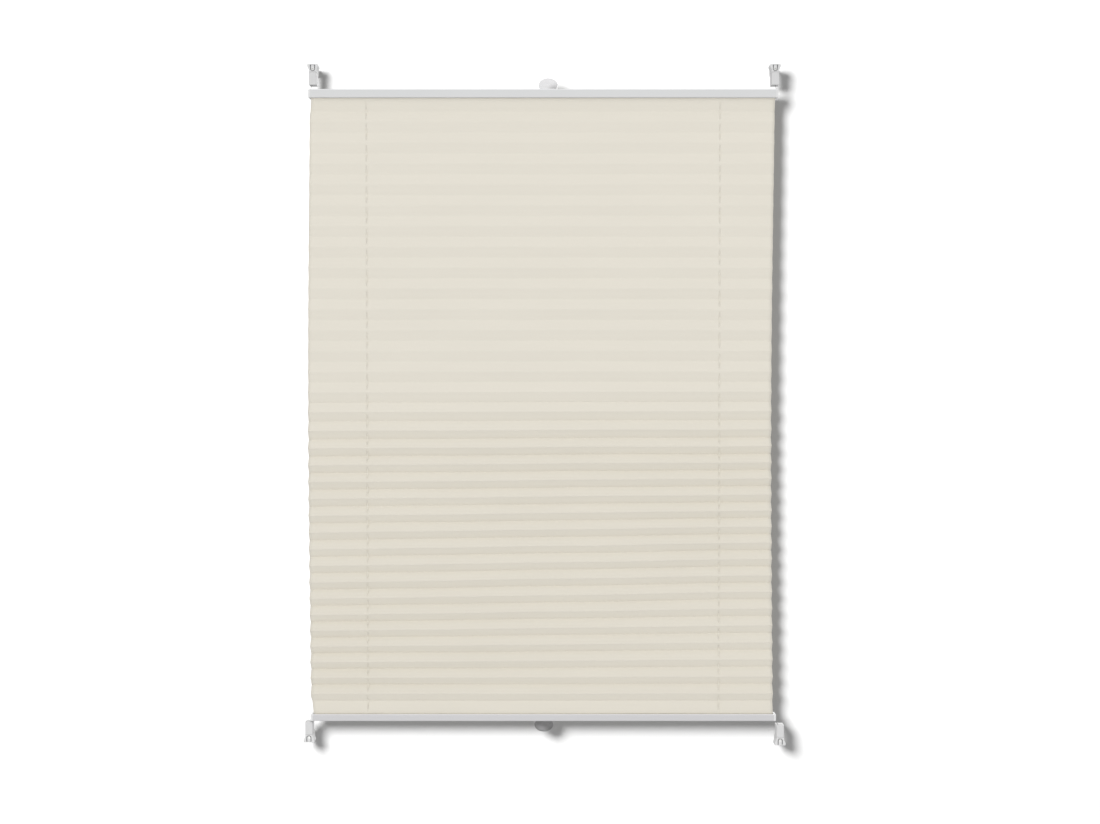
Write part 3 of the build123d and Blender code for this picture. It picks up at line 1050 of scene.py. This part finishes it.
    def mesh(self, name: str, first: int, last: int) -> bpy.types.Object:
        """Build some of the strips as one sheet, with its cord holes.

        Args:
            name: the piece's name.
            first: the first strip.
            last: the strip after the last.

        Returns:
            The piece, a sheet of the cloth's thickness.
        """
        x = self.columns
        wide, span = len(x), len(self.block) - 1
        shares = [(strip, share) for strip in range(first, last) for share in self.hem_rows]
        shares.append((last - 1, 1.0))
        rows = [self.strip_point(strip, np.full_like(x, share), x) for strip, share in shares]
        points = list(np.concatenate(rows))
        plane = [(px * MM, (strip + s) * self.pleat * MM) for strip, s in shares for px in x]
        cut, blocks = set(), []
        for strip in range(first, last):
            top = (strip - first) * len(self.hem_rows) + self.block_row
            for side in SIDES:
                left = int(np.argmin(np.abs(x - (side * self.hole_x + self.block[0]))))
                cut.update((top + r, left + c) for r in range(span) for c in range(span))
                blocks.append((strip, side, self.block_border(top, left)))
        faces = [
            (r * wide + c, (r + 1) * wide + c, (r + 1) * wide + c + 1, r * wide + c + 1)
            for r in range(len(rows) - 1)
            for c in range(wide - 1)
            if (r, c) not in cut
        ]
        for strip, side, border in blocks:
            rim_x, rim_share = self.hole(strip, side)
            base = len(points)
            points += list(self.strip_point(strip, rim_share, rim_x))
            plane += [(px * MM, (strip + s) * self.pleat * MM) for px, s in zip(rim_x, rim_share)]
            for k in range(len(border)):
                after = (k + 1) % len(border)
                faces.append((border[k], base + k, base + after, border[after]))
        piece = add_mesh(name, np.array(points), faces, ("cloth", np.array(plane)))
        thick = piece.modifiers.new("cloth thickness", "SOLIDIFY")
        thick.thickness, thick.offset = self.thickness * MM, 0.0
        return piece

    def build(self) -> float:
        """Make both halves of the cloth, which meet at a back crease near mid-height.

        Returns:
            The level where they meet, in mm.
        """
        width = 2 * self.half_width * MM
        halves = (
            ("cloth_upper", 0, self.seam + 1, "top_rail"),
            ("cloth_lower", self.seam + 1, self.pleats + 2, "bottom_rail"),
        )
        for name, first, last, rail in halves:
            piece = self.mesh(name, first, last)
            self.wardrobe.dress(piece, Look.CLOTH)
            self.rails.hang(piece, rail, self.level[self.seam])
            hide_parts("pleated_cloth")
            pleats = last - first - 1
            length = (pleats * self.pleat + self.end_crease + self.flap_reach) * MM
            LOG.info("%s: %d pleats, flat %.3f x %.3f m", name, pleats, width, length)
        return self.level[self.seam]


# ---------------------------------------------------------------- the cords


@dataclass
class CordTube:
    """A round cord along a line of points, with its braid's place on the surface."""

    radius: float = 0.4
    sides: int = 12
    ring_step: float = 1.0
    most_rings: int = 400
    bend_rings: int = 8
    knot_rings: int = 72
    knot_gap: int = 3
    knot_depth: float = 1.1
    slant: Point = (0.31, 0.92, 0.24)

    def line(self, corners: Sequence[Point], bends: Sequence[float]) -> np.ndarray:
        """The cord's middle line.

        Args:
            corners: where its straight runs meet, in mm.
            bends: how far before and after each inner corner the cord leaves its run.

        Returns:
            Points along the line.
        """
        knots = [np.array(c, float) for c in corners]
        line = [knots[0]]
        for before, here, after, bend in zip(knots, knots[1:], knots[2:], bends):
            start = here + (before - here) / np.linalg.norm(before - here) * bend
            end = here + (after - here) / np.linalg.norm(after - here) * bend
            self.run(line, start)
            for t in np.linspace(0, 1, self.bend_rings + 1)[1:]:
                line.append((1 - t) ** 2 * start + 2 * t * (1 - t) * here + t * t * end)
        self.run(line, knots[-1])
        return np.array(line)

    def run(self, line: list[np.ndarray], end: np.ndarray) -> None:
        """Carry a line straight on in even steps.

        Args:
            line: the line's points so far, which gains more.
            end: the point that it comes to.
        """
        start = line[-1]
        span = float(np.linalg.norm(end - start))
        count = max(1, min(self.most_rings, round(span / self.ring_step)))
        line += [start + (end - start) * k / count for k in range(1, count + 1)]

    def build(self, name: str, line: np.ndarray, place: Callable[..., Point]) -> bpy.types.Object:
        """Skin the line as a closed tube.

        Args:
            name: the piece's name.
            line: points along its middle, in mm.
            place: turns a point's x, y and z into metres.

        Returns:
            The piece.
        """
        ahead = np.gradient(line, axis=0)
        ahead /= np.linalg.norm(ahead, axis=1)[:, None]
        across = np.cross(ahead[0], self.slant)
        points, plane, travelled = [], [], 0.0
        for k, (here, along) in enumerate(zip(line, ahead)):
            if k:
                travelled += float(np.linalg.norm(here - line[k - 1]))
            across = across - along * across.dot(along)
            across /= np.linalg.norm(across)
            other = np.cross(along, across)
            for side in range(self.sides):
                angle = TURN * side / self.sides
                edge = math.cos(angle) * across + math.sin(angle) * other
                points.append(place(*(here + self.radius * edge)))
                plane.append((side / self.sides, travelled * MM))
        faces = []
        for ring in range(len(line) - 1):
            for side in range(self.sides):
                a, b = (ring * self.sides + s % self.sides for s in (side, side + 1))
                faces.append((a, b, b + self.sides, a + self.sides))
        faces.append(tuple(reversed(range(self.sides))))
        faces.append(tuple(range((len(line) - 1) * self.sides, len(line) * self.sides)))
        return add_mesh(name, points, faces, ("braid", np.array(plane)))

    def knot(self, centre: Point, size: float) -> np.ndarray:
        """The line of a small overhand knot round a point: a trefoil, left open where it ends.

        Args:
            centre: its middle, in mm.
            size: how far it reaches from there.

        Returns:
            Points along the knot.
        """
        t = np.linspace(0, TURN, self.knot_rings + 1)[: -self.knot_gap]
        x = np.sin(t) + 2 * np.sin(2 * t)
        y = np.cos(t) - 2 * np.cos(2 * t)
        z = -self.knot_depth * np.sin(3 * t)
        return np.array(centre) + (size - self.radius) / 3 * np.stack([x, y, z], axis=1)


@dataclass
class TensionCord:
    """One cord: from its upper clamp, across the top rail, down the cloth, to its lower clamp."""

    rails: Rails
    wardrobe: Wardrobe
    side: int
    seam: float

    # Places along the rails and levels in them, off the rails' middle and faces.
    end_x: float = 448.0
    near_x: float = 425.0
    hole_x: float = 340.0
    turn_x: float = 320.0
    lane: float = 3.2
    top_level: float = 8.75
    bottom_level: float = 7.0

    # The cord's ends in the caps and shoes.
    mouth_depth: float = 1.2
    overlap: float = 3.0
    throat: float = 5.0
    knot_level: float = 15.4
    knot_size: float = 1.4

    # The spring that joins its two lengths.
    spring_middle: float = 275.0
    spring_half: float = 18.2
    plug_flange: float = 1.2

    # How wide it turns, and the distance between its rings.
    end_bend: float = 1.2
    small_bend: float = 3.0
    turn_bend: float = 6.0
    lane_bend: float = 10.0
    end_step: float = 0.5
    tail_step: float = 0.8
    run_step: float = 2.5
    fall_step: float = 4.0

    @property
    def hand(self) -> str:
        """The cord's side in words."""
        return "right" if self.side > 0 else "left"

    def shoe(self, end: str) -> tuple[float, float]:
        """Where a shoe's mouth is.

        Args:
            end: upper or lower.

        Returns:
            x off the rails' middle, and the level, in mm.
        """
        low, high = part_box(f"{end}_{self.hand}_shoe")
        x = (low.x + high.x) / 2 / MM - self.rails.middle_x
        return x, (low.z if end == "upper" else high.z) / MM

    def add(
        self, name: str, line: np.ndarray, node: str, look: Look = Look.CORD
    ) -> bpy.types.Object:
        """Make one stretch of the cord.

        Args:
            name: the stretch's own word.
            line: points along its middle, in mm.
            node: the CAD length that it stands for, upper or lower.
            look: its finish.

        Returns:
            The piece, dressed.
        """
        piece = CordTube().build(f"{self.hand}_cord_{name}", line, self.rails.placed)
        self.wardrobe.dress(piece, look)
        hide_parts(f"{self.hand}_cord_{node}")
        return piece

    def end_stretch(self, end: str) -> None:
        """The open stretch between a shoe and its rail, and the knot in the shoe.

        Args:
            end: upper or lower.
        """
        upper = end == "upper"
        way, rail = (1, "top_rail") if upper else (-1, "bottom_rail")
        face = self.rails.top_outer if upper else self.rails.bottom_outer
        x, mouth = self.shoe(end)
        knot = (x, 0.0, mouth + way * self.knot_level)
        throat = (x, 0.0, mouth + way * self.throat)
        cap = (self.side * self.end_x, 0.0, face - way * self.mouth_depth)
        corners = [knot, throat, cap, (cap[0], 0.0, cap[2] - way * self.overlap)]
        line = CordTube(ring_step=self.end_step).line(corners, [self.end_bend] * 2)
        # The open stretch takes the darkened copy of the cord, as painted shade.
        piece = self.add(f"{end}_stretch", line, end, Look.SHADED_CORD_END)
        start, finish = self.rails.placed(*throat), self.rails.placed(*cap)
        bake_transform(piece)
        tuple(start)
        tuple(finish)
        tied = self.add(f"{end}_knot", CordTube().knot(knot, self.knot_size), end)
        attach(tied, "clamps")

    def top_run(self) -> None:
        """The two stretches in the top rail, on either side of the spring."""
        rails, side, spring = self.rails, self.side, f"{self.hand}_spring"
        level, lane = rails.top_face + self.top_level, side * self.lane
        inlet = rails.top_outer - self.mouth_depth - self.overlap
        plug = side * (self.spring_half - self.plug_flange)
        near_plug = (-side * self.spring_middle + plug, lane, level)
        far_plug = (-side * self.spring_middle - plug, lane, level)
        near = (side * self.near_x, lane, level)
        turn = (-side * self.turn_x, lane, level)
        end_x, hole_x = side * self.end_x, -side * self.hole_x
        corners = [(end_x, 0.0, inlet), (end_x, 0.0, level), near, near_plug]
        line = CordTube(ring_step=self.run_step).line(corners, [self.small_bend, self.lane_bend])
        run = self.add("top_run", line, "upper")
        rails.placed(*near)
        rails.placed(*near_plug)
        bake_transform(run)
        corners = [far_plug, turn, (hole_x, 0.0, level), (hole_x, 0.0, rails.top_face)]
        line = CordTube(ring_step=self.tail_step).line(corners, [self.turn_bend, self.small_bend])
        tail = self.add("top_tail", line, "lower")
        rails.placed(*far_plug)
        rails.placed(*turn)
        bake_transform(tail)

    def falls(self) -> None:
        """The cord's fall through the cloth, in two halves, each riding with its rail."""
        x = -self.side * self.hole_x
        for word, rail, face in (
            ("upper_fall", "top_rail", self.rails.top_face),
            ("lower_fall", "bottom_rail", self.rails.bottom_face),
        ):
            tube = CordTube(ring_step=self.fall_step)
            line = tube.line([(x, 0.0, face), (x, 0.0, self.seam)], [])
            self.rails.hang(self.add(word, line, "lower"), rail, self.seam)

    def bottom_run(self) -> None:
        """The cord's way back through the bottom rail to its own end."""
        rails, side = self.rails, self.side
        level, lane = rails.bottom_face - self.bottom_level, side * self.lane
        corners = [
            (-side * self.hole_x, 0.0, rails.bottom_face),
            (-side * self.hole_x, 0.0, level),
            (-side * self.turn_x, lane, level),
            (side * self.near_x, lane, level),
            (side * self.end_x, 0.0, level),
            (side * self.end_x, 0.0, rails.bottom_outer + self.mouth_depth + self.overlap),
        ]
        bends = [self.small_bend, self.turn_bend, self.lane_bend, self.small_bend]
        line = CordTube(ring_step=self.run_step).line(corners, bends)
        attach(self.add("bottom_run", line, "lower"), "bottom_rail")

    def build(self) -> None:
        """Make every stretch of the cord."""
        self.end_stretch("upper")
        self.top_run()
        self.falls()
        self.bottom_run()
        self.end_stretch("lower")
        LOG.info("%s cord: ends, runs and falls", self.hand)


# ---------------------------------------------------------------- carried-over pieces


@dataclass
class Hardware:
    """The rails, clamps, grips and springs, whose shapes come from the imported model."""

    wardrobe: Wardrobe
    looks: tuple[tuple[str, Look], ...] = (
        # The lower rail takes the darker copy of the rail paint, as painted shade.
        ("bottom_rail", Look.SHADED_RAIL),
        ("_rail", Look.RAIL),
        ("_cap", Look.CAP),
        ("_guide", Look.GUIDE),
        ("_strip", Look.STRIP),
        ("_grip", Look.GRIP),
        ("_spring_plugs", Look.GUIDE),
        ("_spring", Look.SPRING),
        ("_clamp", Look.CLAMP),
        ("_shoe", Look.SHADED_SHOE),
        ("_hook", Look.HOOK),
        ("_screw", Look.SCREW),
    )

    def build(self) -> None:
        """Dress every node that is still shown."""
        for name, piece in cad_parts.items():
            look = next((look for ending, look in self.looks if name.endswith(ending)), None)
            if look is None or piece.hide_render:
                continue
            self.wardrobe.dress(piece, look)
            LOG.info("%s: %s", name, look.value.name)


# ---------------------------------------------------------------- the studio


@dataclass(frozen=True)
class Sun:
    """A distant light: the way it goes, its power, and how wide it looks, in degrees."""

    name: str
    way: Point
    power: float
    spread: float


@dataclass
class Studio:
    """The camera, a pale wall close behind the blind with a floor before it, and the lights."""

    rails: Rails
    distance: float = 2.7
    elevation: float = 1.3
    lens: float = 45.75
    aim: tuple[float, float] = (13.0, -8.8)
    clip: tuple[float, float] = (0.05, 60.0)

    # The stage: its gaps to the blind in mm, and its size in metres.
    wall_gap: float = 6.0
    floor_drop: float = 260.0
    reach: float = 7.0
    rise: float = 5.0
    floor_paint: StageSurface = StageSurface("pale floor", (0.86, 0.86, 0.86), 0.9)
    wall_paint: StageSurface = StageSurface("white wall", (0.362, 0.362, 0.362), 0.95, True)

    # The lights: one lamp for the stage, and suns for the cloth and for the hardware.
    lamp: Point = (-1680.0, -2700.0, 1230.0)
    lamp_radius: float = 0.78
    lamp_power: float = 130.0
    cloth_suns: tuple[Sun, ...] = (
        Sun("front light", (0.15, 1.0, -0.28), 0.84, 80),
        Sun("rear light", (-0.3, -1.0, -0.55), 0.75, 50),
    )
    hardware_suns: tuple[Sun, ...] = (
        Sun("upper light", (0.1, 1.0, -1.0), 1.75, 60),
        Sun("rear hardware light", (-0.3, -1.0, -0.55), 0.75, 50),
    )
    fill: float = 0.77

    def camera(self) -> None:
        """Stand the camera in front of the blind, a little above its middle."""
        data = bpy.data.cameras.new("camera")
        data.lens = self.lens
        data.clip_start, data.clip_end = self.clip
        camera = bpy.data.objects.new("camera", data)
        bpy.context.scene.collection.objects.link(camera)
        middle = (self.rails.top_face + self.rails.bottom_face) / 2
        target = Vector(self.rails.placed(self.aim[0], 0.0, middle + self.aim[1]))
        tilt = math.radians(self.elevation)
        camera.location = target + self.distance * Vector((0, -math.cos(tilt), math.sin(tilt)))
        camera.rotation_euler = (math.pi / 2 - tilt, 0, 0)
        bpy.context.scene.camera = camera

    def plane(self, name: str, corners: Sequence[Point], paint: StageSurface) -> bpy.types.Object:
        """A flat piece of the stage.

        Args:
            name: its name.
            corners: its four corners, in metres.
            paint: its finish.

        Returns:
            The piece.
        """
        made = add_mesh(name, corners, [(0, 1, 2, 3)])
        made.data.materials.append(paint.material())
        made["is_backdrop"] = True
        return made

    def stage(self) -> bpy.types.Collection:
        """Lay the floor and hang the wall.

        Returns:
            The collection of both, which only the shadow lamp falls on.
        """
        low, high = CAD_BOX
        reach, back = self.reach, high.y + self.wall_gap * MM
        ground = low.z - self.floor_drop * MM
        front = [(-reach, -reach, ground), (reach, -reach, ground)]
        foot = [(reach, back, ground), (-reach, back, ground)]
        head = [(reach, back, self.rise), (-reach, back, self.rise)]
        floor = self.plane("floor", front + foot, self.floor_paint)
        wall = self.plane("wall", foot[::-1] + head, self.wall_paint)
        wall.visible_diffuse = wall.visible_glossy = wall.visible_shadow = False
        floor.visible_diffuse = False
        group = bpy.data.collections.new("stage light receivers")
        for piece in (floor, wall):
            group.objects.link(piece)
        return group

    def lit(self, data: bpy.types.Light, group: bpy.types.Collection) -> bpy.types.Object:
        """Put a light in the scene.

        Args:
            data: the light.
            group: all that it falls on.

        Returns:
            The light's object.
        """
        light = bpy.data.objects.new(data.name, data)
        bpy.context.scene.collection.objects.link(light)
        light.light_linking.receiver_collection = group
        return light

    def shadow_lamp(self) -> None:
        """Hang the lamp that casts the blind's shadow, up to the left and as strong near as far."""
        data = bpy.data.lights.new("shadow lamp", "POINT")
        data.energy, data.shadow_soft_size = 1.0, self.lamp_radius
        shader = Shader(data)
        even = shader.node("LightFalloff", {}, {"Strength": self.lamp_power}, output="Constant")
        shader.finish(shader.node("Emission", {}, {"Strength": even}), "Light")
        self.lit(data, self.stage()).location = self.rails.placed(*self.lamp)

    def suns(self) -> None:
        """Light the cloth with its cords, and the hardware, each softly and by itself."""
        carried = set(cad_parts.values())
        soft = [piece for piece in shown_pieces() if piece not in carried]
        hard = [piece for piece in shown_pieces() if piece in carried]
        for name, suns, pieces in (
            ("cloth", self.cloth_suns, soft),
            ("hardware", self.hardware_suns, hard),
        ):
            group = bpy.data.collections.new(f"{name} light receivers")
            bpy.context.scene.collection.children.link(group)
            for piece in pieces:
                group.objects.link(piece)
            for sun in suns:
                data = bpy.data.lights.new(sun.name, "SUN")
                data.energy, data.angle = sun.power, math.radians(sun.spread)
                way = Vector(sun.way).to_track_quat("-Z", "Y")
                self.lit(data, group).rotation_euler = way.to_euler()

    def world(self) -> None:
        """Surround the blind with white, brighter to look at than to be lit by."""
        world = bpy.data.worlds.new("white world")
        bpy.context.scene.world = world
        shader = Shader(world)
        seen = shader.node("LightPath", {}, {}, output="Is Camera Ray")
        bright = shader.node("MapRange", {}, {"Value": seen, "To Min": self.fill})
        sky = shader.node("Background", {}, {"Color": (1, 1, 1, 1), "Strength": bright})
        shader.finish(sky, "World")
        bpy.context.scene.view_settings.view_transform = "Standard"

    def build(self) -> None:
        """Set the stage and light it."""
        self.world()
        self.shadow_lamp()
        self.suns()
        LOG.info("studio: camera, floor, wall and lights")


def write_sizes() -> None:
    """Make the CAD model's box and the visual model's box into plain lists, which are not kept."""
    boxes = {"cad": CAD_BOX, "visual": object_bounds()}
    {name: [list(corner) for corner in box] for name, box in boxes.items()}


def main() -> None:
    """Build the blind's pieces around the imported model, dress them and light them."""
    logging.basicConfig(level=logging.INFO, format="%(name)s: %(message)s")
    rails = Rails.measured()
    wardrobe = Wardrobe()
    studio = Studio(rails)
    studio.camera()
    seam = PleatedCloth(rails, wardrobe).build()
    for side in SIDES:
        TensionCord(rails, wardrobe, side, seam).build()
    Hardware(wardrobe).build()
    studio.build()
    write_sizes()


if __name__ == "__main__":
    main()
